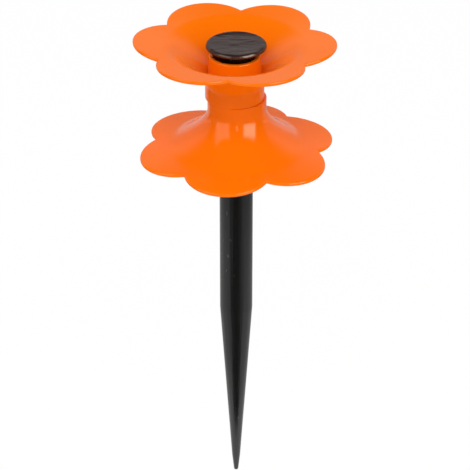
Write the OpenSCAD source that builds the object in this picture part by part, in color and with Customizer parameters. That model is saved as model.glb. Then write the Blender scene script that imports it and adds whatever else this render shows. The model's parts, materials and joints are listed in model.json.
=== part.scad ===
// Hose guide stake
// Two like flower halves stand neck to neck on a ground stake, each loose enough to spin,
// and a cap pressed into the stake's open top keeps them from lifting off.
// The origin is on the stake's axis, where the conical spike meets the straight shank.

/* [Stake] */
// Radius of the straight shank
shank_r = 9.8; // [9.4:0.1:11]
// Length of the straight shank, from the spike up to the collar
shank_len = 111.5; // [80:0.5:160]
// Length of the conical spike
spike_len = 122.5; // [100:0.5:150]
// Length of the steeper point at the end of the spike
point_len = 12; // [8:0.5:20]
// Radius where the spike runs into its point
point_r = 2.55; // [2.2:0.05:4]
// Radius of the blunt round end
nose_r = 1.3; // [0.8:0.1:1.8]
// Radius of the collar that carries the flowers
collar_r = 14.4; // [13.4:0.1:16]
// Thickness of the collar
collar_t = 3; // [2:0.1:5]
// Radius of the spindle above the collar
spindle_r = 9; // [8.2:0.1:9.4]
// Radius of the hollow core, open at the top
core_r = 7; // [6:0.1:7.2]
// Depth that the core reaches down into the spike
core_run = 70; // [40:1:85]

/* [Flower] */
// Number of petals round each flower
petals = 6; // [5:1:8]
// Radius over the petal tips
petal_tip_r = 58; // [52:0.5:66]
// Radius of each petal's round outline
petal_r = 25; // [23:0.2:28]
// Height of one half, from its neck end to its rim
half_h = 34.7; // [30:0.1:42]
// Outer radius of the neck
neck_r = 17; // [16.4:0.1:20]
// Length of the straight part of the neck
neck_len = 7; // [4:0.5:12]
// Radius of the bend where the flare's cone gives way to the lip
lip_r = 38.6; // [34:0.1:44]
// Drop of that bend below the rim
lip_drop = 2.9; // [1:0.1:5]
// Depth over which the cone eases into the lip
lip_ease = 1.8; // [0.4:0.1:2.6]
// Share of a parabola in the cone's curve, the rest being straight
bow_share = 0.85; // [0.5:0.05:1]
// Wall thickness of the flare and of the neck
wall = 2.2; // [1.6:0.1:2.8]
// Chamfer round the neck's end
neck_chamfer = 0.2; // [0.1:0.1:1]
// Outer radius of the hub's tube at its end
hub_r = 15; // [14.2:0.1:16]
// Gain of the hub's radius from its end to its root
hub_draft = 0.4; // [0:0.1:1]
// Depth of the hub's end below the flower's rim
hub_drop = 8.3; // [6:0.1:11.5]
// Wall of the hub's tube
hub_wall = 2.2; // [1.6:0.1:2.4]
// Rounding of the hub's end
hub_round = 0.8; // [0.4:0.1:1.4]
// Radius of the round valley between the hub and the flare
valley_round = 0.5; // [0.3:0.1:3]
// Wall of the bearing sleeve where the neck is cored out round it
sleeve_wall = 2.2; // [1.6:0.1:2.4]

/* [Cap] */
// Radius of the cap
cap_r = 17.4; // [16:0.1:20]
// Thickness of the cap at its edge
cap_t = 2.4; // [2.2:0.1:4]
// Rounding of the cap's edge
cap_edge_r = 1; // [0.5:0.1:1.1]
// Depth of the shallow dish in the cap's top
cap_dish = 0.4; // [0.2:0.1:1]
// Length of the plug under the cap
plug_len = 12; // [8:0.5:20]
// Chamfer on the plug's end
plug_chamfer = 1; // [0.4:0.1:2]

/* [Fits] */
// Play between the spindle and a flower's bore, on the radius
bore_play = 1.2; // [0.4:0.1:1.6]
// Running gap under a flower and between the two necks
seat_gap = 0.3; // [0.2:0.05:0.5]
// Room for the flowers to lift before they meet the cap
lift = 4.7; // [2:0.1:8]
// Grip of the plug in the core, on the radius
plug_grip = 0.03; // [0.01:0.01:0.06]

/* [Rest position] */
// Turn of the upper flower, in degrees
upper_turn = -4.5; // [-30:0.1:30]
// Turn of the lower flower, in degrees
lower_turn = 20.7; // [-30:0.1:30]
// Sideways rest of the upper flower, as a share of the play
upper_sit_share = -0.75; // [-0.75:0.05:0.75]
// Sideways rest of the lower flower, as a share of the play
lower_sit_share = 0.35; // [-0.75:0.05:0.75]

/* [Hidden] */
$fn = 96;

// How far a cut runs past the faces that it opens
overrun = 1;
// Steps along the flare and the cap's dish, and round each small edge
flare_steps = 32;
edge_steps = 6;
// Halvings in the search for the place where the valley runs into the flare
valley_tries = 30;

// Height of the hub, from the neck end
hub_h = half_h - hub_drop;

// Heights of the seats up the stake
collar_top = shank_len + collar_t;
lower_seam = collar_top + seat_gap + hub_h;
upper_seam = lower_seam + seat_gap;
spindle_top = upper_seam + hub_h + lift;

// The core narrows in step with the spike round it
spike_slope = (shank_r - point_r) / (spike_len - point_len);
core_end_r = core_r - core_run * spike_slope;

// Radii that follow from the fits and the walls
bore_r = spindle_r + bore_play;
sleeve_r = bore_r + sleeve_wall;
skirt_r = neck_r - wall;
tube_r = hub_r - hub_wall;
hub_root_r = hub_r + hub_draft;
valley_r = hub_root_r + valley_round;
petal_seat_r = petal_tip_r - petal_r;

// Points round a circular edge, from one angle to another
function edge_arc(centre, r, from, to) = [
    for (i = [0 : edge_steps])
        let (a = from + (to - from) * i / edge_steps)
        centre + r * [cos(a), sin(a)]
];

// Height of one side of the flare's wall at a radius: a bowed cone that eases into a straight lip
function flare_z(r, start_r, rim_z) =
    let (along = (r - start_r) / (lip_r - start_r))
    let (rise = rim_z - lip_drop - neck_len)
    let (cone_z = neck_len + rise * (bow_share * sqrt(along) + (1 - bow_share) * along))
    let (lip_z = rim_z - lip_drop * (petal_tip_r - r) / (petal_tip_r - lip_r))
    let (ease = max(0, lip_ease - abs(lip_z - cone_z)))
    min(lip_z, cone_z) - ease * ease / (4 * lip_ease);

// One side of the flare past a radius, out past the petal tips, with its points crowded at the start
function flare_side(start_r, rim_z, from) = [
    for (i = [1 : flare_steps])
        let (r = from + (petal_tip_r + overrun - from) * pow(i / flare_steps, 2))
        [r, flare_z(r, start_r, rim_z)]
];

// Direction square to the inside of the cone at a radius, into the bowl
function cone_normal(r) =
    let (along = (r - skirt_r) / (lip_r - skirt_r))
    let (rise = half_h - lip_drop - neck_len)
    let (slope = rise / (lip_r - skirt_r) * (bow_share / (2 * sqrt(along)) + 1 - bow_share))
    [-slope, 1] / norm([slope, 1]);

// Centre of a valley that would run into the inside of the flare at a radius
function valley_centre(r) = [r, flare_z(r, skirt_r, half_h)] + valley_round * cone_normal(r);

// The radius at which a valley that also touches the hub's root runs into the flare
function valley_foot(low, high, tries) =
    let (middle = (low + high) / 2)
    tries == 0 ? middle
    : valley_centre(middle)[0] < valley_r ? valley_foot(middle, high, tries - 1)
    : valley_foot(low, middle, tries - 1);

function reversed(points) = [for (i = [len(points) - 1 : -1 : 0]) points[i]];

// Outline of the flower from above: round petals that meet in sharp notches
module petal_outline() {
    circle(r = petal_seat_r);
    for (i = [0 : petals - 1])
        rotate(i * 360 / petals)
            translate([petal_seat_r, 0])
                circle(r = petal_r);
}

// One flower half, standing on its neck end with its rim upwards: a trumpet with a straight lip,
// a hub inside it, a round valley between the two, and a bearing sleeve down inside the cored-out neck
module flower_half() {
    foot_r = valley_foot(skirt_r, lip_r, valley_tries);
    centre = valley_centre(foot_r);
    valley_z = centre[1] - valley_round;
    foot_normal = cone_normal(foot_r);
    valley_from = atan2(-foot_normal[1], -foot_normal[0]);
    color("darkorange")
        intersection() {
            rotate_extrude()
                polygon(concat(
                    [
                        [bore_r, 0],
                        [sleeve_r, 0],
                        [sleeve_r, valley_z - wall],
                        [skirt_r, valley_z - wall],
                        [skirt_r, 0],
                        [neck_r - neck_chamfer, 0],
                        [neck_r, neck_chamfer],
                        [neck_r, neck_len]
                    ],
                    flare_side(neck_r, half_h - wall, neck_r),
                    reversed(flare_side(skirt_r, half_h, foot_r)),
                    edge_arc(centre, valley_round, valley_from, -180),
                    edge_arc([hub_r - hub_round, hub_h - hub_round], hub_round, 0, 90),
                    [
                        [tube_r, hub_h],
                        [tube_r, valley_z],
                        [bore_r, valley_z]
                    ]
                ));
            translate([0, 0, -overrun])
                linear_extrude(height = half_h + 2 * overrun)
                    petal_outline();
        }
}

// Ground stake: blunt point, spike, shank, collar and spindle, hollow from the top
module stake() {
    color("dimgray")
        rotate_extrude()
            polygon(concat(
                edge_arc([0, nose_r - spike_len], nose_r, -90, 0),
                [
                    [point_r, point_len - spike_len],
                    [shank_r, 0],
                    [shank_r, shank_len],
                    [collar_r, shank_len],
                    [collar_r, collar_top],
                    [spindle_r, collar_top],
                    [spindle_r, spindle_top],
                    [core_r, spindle_top],
                    [core_r, 0],
                    [core_end_r, -core_run],
                    [0, -core_run]
                ]
            ));
}

// Cap: a thin round disc with a rounded edge and a shallow dish, on a plug that grips the core
module cap() {
    cap_flat_r = cap_r - cap_edge_r;
    plug_r = core_r + plug_grip;
    color("black")
        translate([0, 0, spindle_top])
            rotate_extrude()
                polygon(concat(
                    [
                        [0, -plug_len],
                        [plug_r - plug_chamfer, -plug_len],
                        [plug_r, plug_chamfer - plug_len],
                        [plug_r, 0]
                    ],
                    edge_arc([cap_flat_r, cap_edge_r], cap_edge_r, -90, 0),
                    edge_arc([cap_flat_r, cap_t - cap_edge_r], cap_edge_r, 0, 90),
                    [
                        for (i = [1 : flare_steps])
                            let (share = 1 - i / flare_steps)
                            [cap_flat_r * share, cap_t - cap_dish * (1 - share * share)]
                    ]
                ));
}

module upper_flower() {
    translate([bore_play * upper_sit_share, 0, upper_seam])
        rotate([0, 0, upper_turn])
            flower_half();
}

module lower_flower() {
    translate([bore_play * lower_sit_share, 0, lower_seam])
        rotate([180, 0, lower_turn])
            flower_half();
}

stake();
cap();
upper_flower();
lower_flower();
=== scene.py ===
import json
import math

import bpy
from mathutils import Matrix, Vector


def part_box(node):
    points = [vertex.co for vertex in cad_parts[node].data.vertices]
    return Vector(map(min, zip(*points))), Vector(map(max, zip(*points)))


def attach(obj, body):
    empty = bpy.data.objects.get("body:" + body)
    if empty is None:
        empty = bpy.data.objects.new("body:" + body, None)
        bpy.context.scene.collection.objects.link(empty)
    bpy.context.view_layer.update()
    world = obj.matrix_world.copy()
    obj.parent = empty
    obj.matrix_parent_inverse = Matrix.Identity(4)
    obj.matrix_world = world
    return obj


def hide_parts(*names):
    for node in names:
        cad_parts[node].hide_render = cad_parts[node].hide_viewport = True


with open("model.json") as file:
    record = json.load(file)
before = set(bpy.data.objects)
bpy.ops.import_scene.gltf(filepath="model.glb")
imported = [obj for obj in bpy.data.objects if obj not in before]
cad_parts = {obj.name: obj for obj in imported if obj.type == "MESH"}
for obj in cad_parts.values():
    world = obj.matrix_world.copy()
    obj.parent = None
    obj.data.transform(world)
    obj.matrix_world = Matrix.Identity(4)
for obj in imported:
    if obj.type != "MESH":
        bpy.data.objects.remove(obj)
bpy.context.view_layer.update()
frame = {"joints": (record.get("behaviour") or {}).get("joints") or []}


# Ground stake: one hollow black plastic moulding, with a conical spike that is pushed into the soil,
# a straight shank, a collar that carries the flowers and a smooth spindle for them to spin on.
# It is left semi-matt from the mould, and handling has put a few fine scuffs on it.
stake_low, stake_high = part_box("stake")
stake_tip = stake_low.z
spindle_top = stake_high.z
collar_r = stake_high.x
shank_r = 0.0098
shank_len = 0.1115
shank_ease = 0.012
collar_t = 0.003
collar_top = shank_len + collar_t
collar_edge = 0.0006
spindle_r = 0.0090
spindle_edge = 0.0005
core_r = 0.007
core_run = 0.070
core_end_r = 0.0024
core_mouth_edge = 0.0004
core_ease = 0.004
core_end_round = 0.0012
point_len = 0.012
point_r = 0.00255
point_ease = 0.006
nose_r = 0.0013
nose_round_share = 0.8


def softened(outline, steps=5):
    """Points along an outline of (r, z, rounding) corners, with an arc at each that has a rounding."""
    points = []
    for i, (r, z, rounding) in enumerate(outline):
        corner = Vector((r, z))
        if not rounding:
            points.append(corner)
            continue
        before = (Vector(outline[i - 1][:2]) - corner).normalized()
        after = (Vector(outline[(i + 1) % len(outline)][:2]) - corner).normalized()
        half = before.angle(after) / 2
        centre = corner + (before + after).normalized() * rounding / math.sin(half)
        start = corner + before * rounding / math.tan(half) - centre
        end = corner + after * rounding / math.tan(half) - centre
        turn = start.angle_signed(end)
        for k in range(steps + 1):
            a = -turn * k / steps
            points.append(centre + Matrix.Rotation(a, 2) @ start)
    return points


def finished(name, vertices, faces, crease=40):
    """A smooth-shaded object, with its edges left sharp where they turn by more degrees than the crease."""
    mesh = bpy.data.meshes.new(name)
    mesh.from_pydata(vertices, [], faces)
    mesh.validate()
    mesh.shade_smooth()
    mesh.set_sharp_from_angle(angle=math.radians(crease))
    piece = bpy.data.objects.new(name, mesh)
    bpy.context.scene.collection.objects.link(piece)
    return piece


def turned(name, outline, sides=160):
    """A solid turned about the Z axis from an outline that starts and ends on it."""
    rings = outline[1:-1]
    vertices = [(0, 0, outline[0].y), (0, 0, outline[-1].y)]
    for r, z in rings:
        for k in range(sides):
            a = 2 * math.pi * k / sides
            vertices.append((r * math.cos(a), r * math.sin(a), z))
    faces = []
    for k in range(sides):
        n = (k + 1) % sides
        faces.append((0, 2 + n, 2 + k))
        for i in range(len(rings) - 1):
            low, high = 2 + i * sides, 2 + (i + 1) * sides
            faces.append((low + k, low + n, high + n, high + k))
        last = 2 + (len(rings) - 1) * sides
        faces.append((1, last + k, last + n))
    return finished(name, vertices, faces)


class Wire:
    """A socket of a node tree, for shader maths written as plain expressions."""

    def __init__(self, tree, socket=None):
        self.tree = tree
        self.socket = socket

    def node(self, kind, settings, sockets, out=0):
        """A new node: its settings come first, then the values or links of its sockets."""
        made = self.tree.nodes.new(kind)
        for name, value in settings.items():
            setattr(made, name, value)
        for key, value in sockets.items():
            if isinstance(value, Wire):
                self.tree.links.new(value.socket, made.inputs[key])
            else:
                made.inputs[key].default_value = value
        return Wire(self.tree, made.outputs[out] if made.outputs else None)

    def maths(self, operation, first, second):
        return self.node("ShaderNodeMath", {"operation": operation}, {0: first, 1: second})

    def __add__(self, other):
        return self.maths("ADD", self, other)

    __radd__ = __add__

    def __sub__(self, other):
        return self.maths("SUBTRACT", self, other)

    def __rsub__(self, other):
        return self.maths("SUBTRACT", other, self)

    def __mul__(self, other):
        return self.maths("MULTIPLY", self, other)

    __rmul__ = __mul__

    def __truediv__(self, other):
        return self.maths("DIVIDE", self, other)

    def __rtruediv__(self, other):
        return self.maths("DIVIDE", other, self)

    def step(self, start, end, low=0.0, high=1.0):
        """An eased step from low to high while this value goes from start to end."""
        return self.node(
            "ShaderNodeMapRange",
            {"interpolation_type": "SMOOTHSTEP"},
            {"Value": self, "From Min": start, "From Max": end, "To Min": low, "To Max": high},
        )

    def tint(self, first, second):
        """The first colour where this value is 0, and the second where it is 1."""
        return self.node(
            "ShaderNodeMix",
            {"data_type": "RGBA"},
            {0: self, 6: first, 7: second},
            out=2,
        )

    def noise(self, scale, detail, stretch=(1, 1, 1), shift=(0, 0, 0)):
        """Cloudy noise at this place: scale counts the clouds in a metre."""
        placed = self.node(
            "ShaderNodeMapping", {}, {"Vector": self, "Location": shift, "Scale": stretch}
        )
        return self.node(
            "ShaderNodeTexNoise", {}, {"Vector": placed, "Scale": scale, "Detail": detail}
        )

    def bumped(self, height):
        """The surface normal that this value gives as a relief of that height in metres."""
        return self.node(
            "ShaderNodeBump", {}, {"Strength": 1.0, "Distance": height, "Height": self}
        )


def plastic(name, ior, paint):
    """A moulded plastic: paint takes a place on the piece and gives its colour, roughness and normal."""
    material = bpy.data.materials.new(name)
    material.use_nodes = True
    tree = material.node_tree
    tree.nodes.clear()
    start = Wire(tree)
    place = start.node("ShaderNodeTexCoord", {}, {}, out="Object")
    colour, roughness, normal = paint(place)
    surface = start.node(
        "ShaderNodeBsdfPrincipled",
        {},
        {"Base Color": colour, "Roughness": roughness, "Normal": normal, "IOR": ior},
    )
    start.node("ShaderNodeOutputMaterial", {}, {"Surface": surface})
    return material


stake_ior = 1.6
stake_blacks = (0.0030, 0.0031, 0.0030, 1), (0.0070, 0.0072, 0.0070, 1)
stake_roughness = 0.13
stake_relief = 0.00025
draw_mark_scale = 800
draw_mark_stretch = (1, 1, 0.02)
draw_mark_roughness = 0.12
draw_mark_relief_share = 0.8
mottle_scale = 70
mottle_roughness = 0.08
mottle_colour_share = 0.6
scuff_scale = 420
scuff_stretch = (1, 1, 0.5)
scuff_shift = (0.3, 0.1, 0.2)
scuff_edge = (0.70, 0.76)
scuff_grey = (0.10, 0.10, 0.10, 1)
scuff_colour_share = 0.5
scuff_roughness = 0.12


def stake_paint(place):
    """Black plastic with draw marks down its length, a mottled gloss and a few pale scuffs."""
    draw_marks = place.noise(draw_mark_scale, detail=3, stretch=draw_mark_stretch)
    mottle = place.noise(mottle_scale, detail=4)
    scuff_clouds = place.noise(scuff_scale, detail=2, stretch=scuff_stretch, shift=scuff_shift)
    scuffs = scuff_clouds.step(*scuff_edge)
    shade = mottle * mottle_colour_share + draw_marks * (1 - mottle_colour_share)
    colour = (scuffs * scuff_colour_share).tint(shade.tint(*stake_blacks), scuff_grey)
    roughness = (
        stake_roughness
        + mottle * mottle_roughness
        + draw_marks * draw_mark_roughness
        + scuffs * scuff_roughness
    )
    relief = draw_marks * draw_mark_relief_share + mottle * (1 - draw_mark_relief_share)
    return colour, roughness, relief.bumped(stake_relief)


stake = turned("stake", softened([
    (0, stake_tip, 0),
    (nose_r, stake_tip, nose_r * nose_round_share),
    (point_r, stake_tip + point_len, point_ease),
    (shank_r, 0, shank_ease),
    (shank_r, shank_len, collar_edge),
    (collar_r, shank_len, collar_edge),
    (collar_r, collar_top, collar_edge),
    (spindle_r, collar_top, spindle_edge),
    (spindle_r, spindle_top, spindle_edge),
    (core_r, spindle_top, core_mouth_edge),
    (core_r, 0, core_ease),
    (core_end_r, -core_run, core_end_round),
    (0, -core_run, 0),
]))
stake.data.materials.append(plastic("stake_plastic", stake_ior, stake_paint))
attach(stake, "stake_body")
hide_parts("stake")


# Lower flower: an injection-moulded half of glossy orange plastic, a six-petalled trumpet on a neck,
# with a hub inside that is bored to spin loosely on the spindle. It stands neck upwards,
# its hub resting on the stake's collar inside the bell.
petals = 6
petal_tip_r = 0.058
petal_r = 0.025
petal_seat_r = petal_tip_r - petal_r
lower_low, lower_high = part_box("lower_flower")
lower_seam = lower_high.z
half_h = lower_seam - lower_low.z
neck_r = 0.017
neck_len = 0.007
neck_edge = 0.0003
neck_rest = 0.0001
lip_r = 0.0386
lip_drop = 0.0029
lip_bend = 0.0050
lip_ease = 0.0018
bow_share = 0.85
wall = 0.0022
skirt_r = neck_r - wall
rim_round = 0.0008
notch_round = 0.0005
edge_round = 0.0003
hub_r = 0.0150
hub_draft = 0.0004
hub_root_r = hub_r + hub_draft
hub_drop = 0.0083
hub_h = half_h - hub_drop
hub_wall = 0.0022
tube_r = hub_r - hub_wall
hub_round = 0.0008
valley_round = 0.0005
bore_r = 0.0102
sleeve_wall = 0.0022
sleeve_r = bore_r + sleeve_wall
flare_rows = 32
flare_crowding = 1.6
bend_rows = 14
lip_rows = 10
valley_rows = 8
rim_rows = 6
lower_turn = 20.7
upside_down = 180
hinges = {joint["name"]: Vector(joint["pos_m"]) for joint in frame["joints"]}


def flare_height(r, start_r, rim_z):
    """Height of one side of the flare's wall at a radius: a bowed cone, an eased crease, a straight lip."""
    along = (r - start_r) / (lip_r - start_r)
    rise = rim_z - lip_drop - neck_len
    cone = neck_len + rise * (bow_share * math.sqrt(max(0.0, along)) + (1 - bow_share) * along)
    lip = rim_z - lip_drop * (petal_tip_r - r) / (petal_tip_r - lip_r)
    ease = max(0.0, lip_ease - abs(lip - cone))
    return min(lip, cone) - ease * ease / (4 * lip_ease)


def flare_radii(start_r, end_r):
    """Radii of the rows out along the flare: close together at its steep start and round the crease."""
    spans = (
        (start_r, lip_r - lip_bend, flare_rows, flare_crowding),
        (lip_r - lip_bend, lip_r + lip_bend, bend_rows, 1),
        (lip_r + lip_bend, end_r, lip_rows, 1),
    )
    radii = [start_r]
    for low, high, rows, crowding in spans:
        radii += [low + (high - low) * (i / rows) ** crowding for i in range(1, rows + 1)]
    return radii


def valley_foot(probe=0.00001, tries=40):
    """Centre of the round valley between hub and flare, and the radius where it runs into the flare."""
    low, high = skirt_r, lip_r
    for _ in range(tries):
        r = (low + high) / 2
        z = flare_height(r, skirt_r, half_h)
        uphill = Vector((probe, flare_height(r + probe, skirt_r, half_h) - z)).normalized()
        centre = Vector((r - uphill.y * valley_round, z + uphill.x * valley_round))
        if centre.x < hub_root_r + valley_round:
            low = r
        else:
            high = r
    return centre, r


def petal_edge(arc_steps=44, notch_steps=6):
    """Points round the petals' edge with their outward normals: round petals, small fillets between them."""
    half = math.pi / petals
    reach = petal_r + notch_round
    to_side = petal_seat_r * math.sin(half)
    notch_r = petal_seat_r * math.cos(half) + math.sqrt(reach ** 2 - to_side ** 2)
    notch = Vector((notch_r * math.cos(half), notch_r * math.sin(half)))
    seat = Vector((petal_seat_r, 0))
    spread = math.atan2(notch.y, notch.x - petal_seat_r)
    edge = []
    for k in range(petals):
        turn = Matrix.Rotation(2 * half * k, 2)
        for i in range(arc_steps + 1):
            a = spread * (2 * i / arc_steps - 1)
            normal = Vector((math.cos(a), math.sin(a)))
            edge.append((turn @ (seat + normal * petal_r), turn @ normal))
        for i in range(1, notch_steps):
            a = spread + (2 * half - 2 * spread) * i / notch_steps
            normal = Vector((math.cos(a), math.sin(a)))
            edge.append((turn @ (notch - normal * notch_round), turn @ normal))
    return edge


def flower_half(name):
    """A flower half on its neck end, rim upwards: a grid with a column at each point of its edge."""
    inner_rim, outer_rim = half_h, half_h - wall
    valley, foot_r = valley_foot()
    floor_z = valley.y - valley_round
    inside = softened([
        (bore_r, floor_z / 2, 0),
        (bore_r, floor_z, edge_round),
        (tube_r, floor_z, edge_round),
        (tube_r, hub_h, edge_round),
        (hub_r, hub_h, hub_round),
        (hub_root_r, valley.y, 0),
    ])
    foot = Vector((foot_r, flare_height(foot_r, skirt_r, inner_rim))) - valley
    sweep = math.pi + math.atan2(foot.y, foot.x)
    for k in range(1, valley_rows):
        a = sweep * k / valley_rows - math.pi
        inside.append(valley + valley_round * Vector((math.cos(a), math.sin(a))))
    outside = softened([
        (neck_r, neck_len / 2, 0),
        (neck_r, 0, neck_edge),
        (skirt_r, 0, edge_round),
        (skirt_r, floor_z - wall, edge_round),
        (sleeve_r, floor_z - wall, edge_round),
        (sleeve_r, 0, edge_round),
        (bore_r, 0, edge_round),
        (bore_r, floor_z / 2, 0),
    ])[:-1]
    columns = []
    for point, normal in petal_edge():
        flat_end = point - normal * rim_round
        end_r = flat_end.length
        along = flat_end / end_r
        column = [(along.x * r, along.y * r, z) for r, z in inside]
        for r in flare_radii(foot_r, end_r):
            column.append((along.x * r, along.y * r, flare_height(r, skirt_r, inner_rim)))
        for side, start_r, rim_z in ((1, skirt_r, inner_rim), (-1, neck_r, outer_rim)):
            for i in range(1, rim_rows + 1):
                a = math.pi / 2 * (i if side > 0 else rim_rows - i + 1) / rim_rows
                spot = point - normal * rim_round * (1 - math.sin(a))
                drop = rim_round * (1 - math.cos(a))
                column.append((spot.x, spot.y, flare_height(spot.length, start_r, rim_z) - side * drop))
        for r in reversed(flare_radii(neck_r, end_r)):
            column.append((along.x * r, along.y * r, flare_height(r, neck_r, outer_rim)))
        column += [(along.x * r, along.y * r, z) for r, z in outside]
        columns.append(column)
    rows = len(columns[0])
    vertices = [vertex for column in columns for vertex in column]
    faces = []
    for j in range(len(columns)):
        here, there = j * rows, (j + 1) % len(columns) * rows
        for i in range(rows):
            n = (i + 1) % rows
            faces.append((here + i, here + n, there + n, there + i))
    return finished(name, vertices, faces)


flower_ior = 1.5
flower_oranges = (0.85, 0.148, 0.0006, 1), (0.88, 0.162, 0.0010, 1)
flower_roughness = 0.08
flower_relief = 0.00004
flow_scale = 28
flow_roughness = 0.04
flow_relief_share = 0.8
skin_scale = 260
skin_roughness = 0.03


def flower_paint(shift):
    """Glossy orange plastic: faint flow marks in the colour, a slightly uneven gloss and a fine skin."""

    def paint(place):
        flow = place.noise(flow_scale, detail=3, shift=shift)
        skin = place.noise(skin_scale, detail=2, shift=shift)
        colour = flow.tint(*flower_oranges)
        roughness = flower_roughness + flow * flow_roughness + skin * skin_roughness
        relief = flow * flow_relief_share + skin * (1 - flow_relief_share)
        return colour, roughness, relief.bumped(flower_relief)

    return paint


def set_flower(name, hinge, body, seat_z, turn, flip):
    """A flower half on its own hinge's axis, turned and flipped by degrees as it rests."""
    flower = flower_half(name)
    flower.data.transform(
        Matrix.Translation((hinges[hinge].x, hinges[hinge].y, seat_z))
        @ Matrix.Rotation(math.radians(turn), 4, "Z")
        @ Matrix.Rotation(math.radians(flip), 4, "X")
    )
    own_marks = (turn, flip, 0)
    flower.data.materials.append(plastic(name + "_plastic", flower_ior, flower_paint(own_marks)))
    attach(flower, body)
    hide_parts(name)


set_flower(
    "lower_flower", "lower_flower_spin", "lower_flower_body",
    seat_z=lower_seam + neck_rest, turn=lower_turn, flip=upside_down,
)


# Upper flower: the same orange moulding the other way up, its neck end resting on the lower one's,
# so that the two trumpets make a spool for the hose. Nothing keys them together,
# and each rests at its own turn, a little to one side in its loose bore.
upper_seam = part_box("upper_flower")[0].z
upper_turn = -4.5
set_flower(
    "upper_flower", "upper_flower_spin", "upper_flower_body",
    seat_z=upper_seam - neck_rest, turn=upper_turn, flip=0,
)


# Cap: a thin black plastic disc with a round edge, on a plug pressed into the stake's open top.
# It keeps the flowers from lifting off. Its satin top has sunk unevenly as it cooled.
cap_low, cap_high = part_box("cap")
cap_r = cap_high.x
cap_top = cap_high.z
cap_edge_round = 0.0017
cap_flat_r = cap_r - cap_edge_round
cap_under_round = 0.0005
cap_dish = 0.0006
dish_steps = 24
dish_power = 4
plug_slack = 0.00002
plug_r = core_r - plug_slack
plug_chamfer = 0.001
plug_edge = 0.0002
plug_root_round = 0.0001
cap_ior = 1.7
# These blacks are warm: their reddish tint is painted orange light bounced from the bowl.
cap_blacks_warmed_by_painted_bounce = (0.018, 0.0095, 0.0080, 1), (0.050, 0.0240, 0.0200, 1)
cap_roughness = 0.14
cap_relief = 0.0012
wave_scale = 75
wave_stretch = (1, 2.2, 1)
wave_roughness = 0.10
wave_relief_share = 0.95
cap_skin_scale = 700
cap_skin_roughness = 0.06


def cap_paint(place):
    """Satin black plastic, warmed by painted orange light bounced from the bowl, with slow sink waves on it
    and a fine uneven gloss.
    """
    waves = place.noise(wave_scale, detail=2, stretch=wave_stretch)
    skin = place.noise(cap_skin_scale, detail=3)
    colour = waves.tint(*cap_blacks_warmed_by_painted_bounce)
    roughness = cap_roughness + waves * wave_roughness + skin * cap_skin_roughness
    relief = waves * wave_relief_share + skin * (1 - wave_relief_share)
    return colour, roughness, relief.bumped(cap_relief)


cap_outline = softened([
    (0, cap_low.z, 0),
    (plug_r - plug_chamfer, cap_low.z, plug_edge),
    (plug_r, cap_low.z + plug_chamfer, plug_edge),
    (plug_r, spindle_top, plug_root_round),
    (cap_r, spindle_top, cap_under_round),
    (cap_r, cap_top, cap_edge_round),
    (0, cap_top, 0),
])[:-1]
for i in range(1, dish_steps + 1):
    share = 1 - i / dish_steps
    cap_outline.append(Vector((cap_flat_r * share, cap_top - cap_dish * (1 - share ** dish_power))))
cap = turned("cap", cap_outline)
cap.data.materials.append(plastic("cap_plastic", cap_ior, cap_paint))
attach(cap, "stake_body")
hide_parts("cap")


# Floor: a plain pale studio floor under the stake's tip, wide enough to fill the view.
# The camera sees it white, and it still takes the stake's soft shadow. Mirror rays see a painted glow on it:
# bright round the tip and dimmer away from it, with painted shade towards the camera, far off except at the
# back, and to the right.
floor_r = 4.0
floor_sides = 96
floor_colour = (0.90, 0.90, 0.90, 1)
floor_white_share = 0.96
floor_mirror_share = 0.54
# Painted light and shade for mirror rays: a glow round the tip, and shade far off, ahead of the tip and to
# the right.
tip_glow = (0.03, 0.13)
painted_shade_far_from = (0.28, 0.42)
painted_shade_far_way = (-0.14, 0.99)
painted_shade_far_spread = (-0.62, -0.42)
ahead_spread = (0.56, 0.97)
ahead_from = (0.030, 0.055)
right_loss_share = 0.5
right_spread = (0.0, 0.8)
right_from = (0.20, 0.36)
black = (0, 0, 0, 1)
white = (1, 1, 1, 1)


def seen_by(start, ray):
    """1 for rays of that kind, and 0 for others."""
    return start.node("ShaderNodeLightPath", {}, {}, out=f"Is {ray} Ray")


def along_axis(place, axis):
    """How far a place or a direction goes along X, Y or Z."""
    return place.node("ShaderNodeSeparateXYZ", {}, {"Vector": place}, out=axis)


floor_turns = [2 * math.pi * k / floor_sides for k in range(floor_sides)]
floor_edge = [(floor_r * math.cos(a), floor_r * math.sin(a), 0) for a in floor_turns]
floor = finished("floor", floor_edge, [list(range(floor_sides))])
floor.location.z = stake_tip
floor_material = bpy.data.materials.new("pale_floor")
floor_material.use_nodes = True
floor_material.node_tree.nodes.clear()
floor_start = Wire(floor_material.node_tree)
floor_place = floor_start.node("ShaderNodeTexCoord", {}, {}, out="Object")
floor_right = along_axis(floor_place, "X")
floor_front = 0 - along_axis(floor_place, "Y")
floor_away = floor_start.node(
    "ShaderNodeVectorMath", {"operation": "LENGTH"}, {0: floor_place}, out="Value"
)
# Painted shade for mirror rays: far off except towards the back, ahead of the tip, and dimmer to the right;
# a painted glow round the tip.
dark_way = (floor_right * painted_shade_far_way[0] + floor_front * painted_shade_far_way[1]) / floor_away
painted_shade_far = floor_away.step(*painted_shade_far_from) * dark_way.step(*painted_shade_far_spread)
ahead = (floor_front / floor_away).step(*ahead_spread) * floor_front.step(*ahead_from)
to_right = (floor_right / floor_away).step(*right_spread)
off_right = to_right * floor_away.step(*right_from) * right_loss_share
floor_share = floor_away.step(*tip_glow, 1, floor_mirror_share)
floor_lit = (1 - painted_shade_far) * (1 - ahead) * (1 - off_right) * floor_share
floor_mirrored = seen_by(floor_start, "Glossy")
floor_glow = floor_start.node("ShaderNodeEmission", {}, {
    "Color": (1 - floor_mirrored * (1 - floor_lit)).tint(black, white),
})
floor_card = floor_start.node("ShaderNodeBsdfDiffuse", {}, {"Color": floor_colour})
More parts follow.
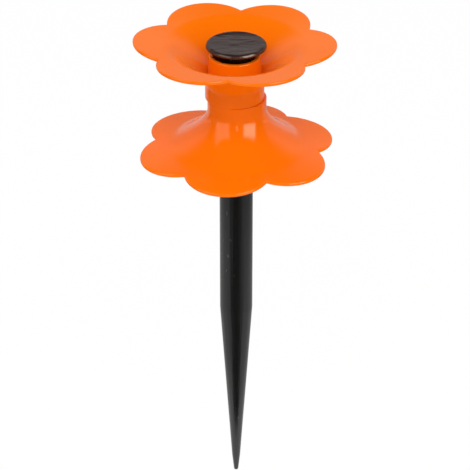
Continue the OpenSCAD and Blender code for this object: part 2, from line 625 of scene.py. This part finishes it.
floor_white = floor_white_share * (
    seen_by(floor_start, "Camera") + seen_by(floor_start, "Transmission") + floor_mirrored
)
floor_mix = floor_start.node("ShaderNodeMixShader", {}, {0: floor_white, 1: floor_card, 2: floor_glow})
floor_start.node("ShaderNodeOutputMaterial", {}, {"Surface": floor_mix})
floor.data.materials.append(floor_material)


# Studio: a white backdrop round the far side, brightest near the floor, that shines on the part's back,
# and a little fill from all round. Soft boxes hang overhead and over the camera and stand at its sides;
# the glossy flowers mirror one at either side of the camera and a narrow strip beside the lens.
backdrop_edge = (0.12, 0.32)
backdrop_foot = (0.0, 0.12, 0.55, 0)
backdrop_rise = (0.30, 0.46, 0.70, 1)
backdrop_top = (0.47, 0.72, 1, 0)
backdrop_gleam = 0.42
backdrop_light = 1.7
backdrop_reach = (0.50, 0.80, 1, 0)
fill_light = 0.33
gleam_colour = (1.0, 0.86, 0.66, 1)
right_gleam = 5.5
right_across = (20, 28, 62, 72)
right_upward = (-14, 17, 40, 57)
left_gleam = 1.75
left_across = (-84, -74, -32, -24)
left_upward = (-14, -4, 44, 66)
strip_gleam = 3.0
strip_across = (-4, -1, 1.5, 4.5)
strip_upward = (5, 11, 28, 38)
aim = Vector((0, 0, 0.141))
side_box = {"height": 0.65, "distance": 1.2, "width": 0.87, "tall": 1.33}

world = bpy.data.worlds.new("studio")
world.use_nodes = True
world.node_tree.nodes.clear()
bpy.context.scene.world = world
sky = Wire(world.node_tree)
sky_way = sky.node("ShaderNodeTexCoord", {}, {}, out="Generated")
sky_side = along_axis(sky_way, "X")
sky_back = along_axis(sky_way, "Y")
sky_up = along_axis(sky_way, "Z")
sky_bearing = sky.maths("ARCTAN2", sky_side, 0 - sky_back)
sky_rise = sky.maths("ARCSINE", sky_up, 0.0)


def window(angle, start, full, fading, end):
    """1 while an angle is between full and fading degrees, eased from 0 at the start and to 0 at the end."""
    start, full, fading, end = map(math.radians, (start, full, fading, end))
    return angle.step(start, full) * angle.step(fading, end, 1, 0)


far_side = sky_back.step(*backdrop_edge)
shining = far_side * sky_up.step(*backdrop_reach) * backdrop_light + fill_light
backdrop = (sky_up.step(*backdrop_foot) + sky_up.step(*backdrop_rise)) * sky_up.step(*backdrop_top)
gleams = sum(
    window(sky_bearing, *across) * window(sky_rise, *upward) * (gleam / right_gleam)
    for gleam, across, upward in (
        (right_gleam, right_across, right_upward),
        (left_gleam, left_across, left_upward),
        (strip_gleam, strip_across, strip_upward),
    )
)
in_mirrors = seen_by(sky, "Glossy") + seen_by(sky, "Transmission")
sky_white = (
    seen_by(sky, "Camera")
    + in_mirrors * far_side * backdrop * backdrop_gleam
    + seen_by(sky, "Diffuse") * shining
) * (1 / right_gleam)
sky_colour = (in_mirrors * gleams).tint(sky_white.tint(black, white), gleam_colour)
sky_glow = sky.node("ShaderNodeBackground", {}, {"Color": sky_colour, "Strength": right_gleam})
sky.node("ShaderNodeOutputWorld", {}, {"Surface": sky_glow})


def soft_box(name, azimuth, radiance, height, distance, width, tall):
    """A flat lamp that faces the flowers, at a bearing from the camera's side, for matt light only."""
    lamp = bpy.data.lights.new(name, "AREA")
    lamp.shape = "RECTANGLE"
    lamp.size = width
    lamp.size_y = tall
    lamp.energy = radiance * math.pi * width * tall
    lamp.cycles.use_multiple_importance_sampling = False
    box = bpy.data.objects.new(name, lamp)
    a = math.radians(azimuth)
    box.location = Vector((distance * math.sin(a), -distance * math.cos(a), height))
    box.rotation_euler = (aim - box.location).to_track_quat("-Z", "Y").to_euler()
    box.visible_camera = False
    box.visible_glossy = False
    bpy.context.scene.collection.objects.link(box)


soft_box("top_box", azimuth=-60, radiance=0.40, height=1.30, distance=0.5, width=2.2, tall=2.2)
soft_box("front_box", azimuth=0, radiance=5.1, height=1.25, distance=1.0, width=1.2, tall=0.6)
soft_box("left_box", azimuth=-46, radiance=0.55, **side_box)
soft_box("right_box", azimuth=46, radiance=1.25, **side_box)


# Camera: a long lens a little over a metre away, looking down at the part as the photograph does.
# It aims a little left of the stake's axis, and a little above the part's middle.
picture_px = 470
focal_px = 2079.8
sensor_mm = 36.0
view_elevation = math.radians(30.02)
view_distance = 1.2397
view_target = Vector((-0.00072, 0, 0.0495))

lens = bpy.data.cameras.new("camera")
lens.sensor_width = sensor_mm
lens.lens = focal_px * sensor_mm / picture_px
camera = bpy.data.objects.new("camera", lens)
towards_camera = Vector((0, -math.cos(view_elevation), math.sin(view_elevation)))
camera.location = view_target + towards_camera * view_distance
camera.rotation_euler = (-towards_camera).to_track_quat("-Z", "Y").to_euler()
bpy.context.scene.collection.objects.link(camera)
bpy.context.scene.camera = camera
bpy.context.scene.view_settings.view_transform = "Standard"
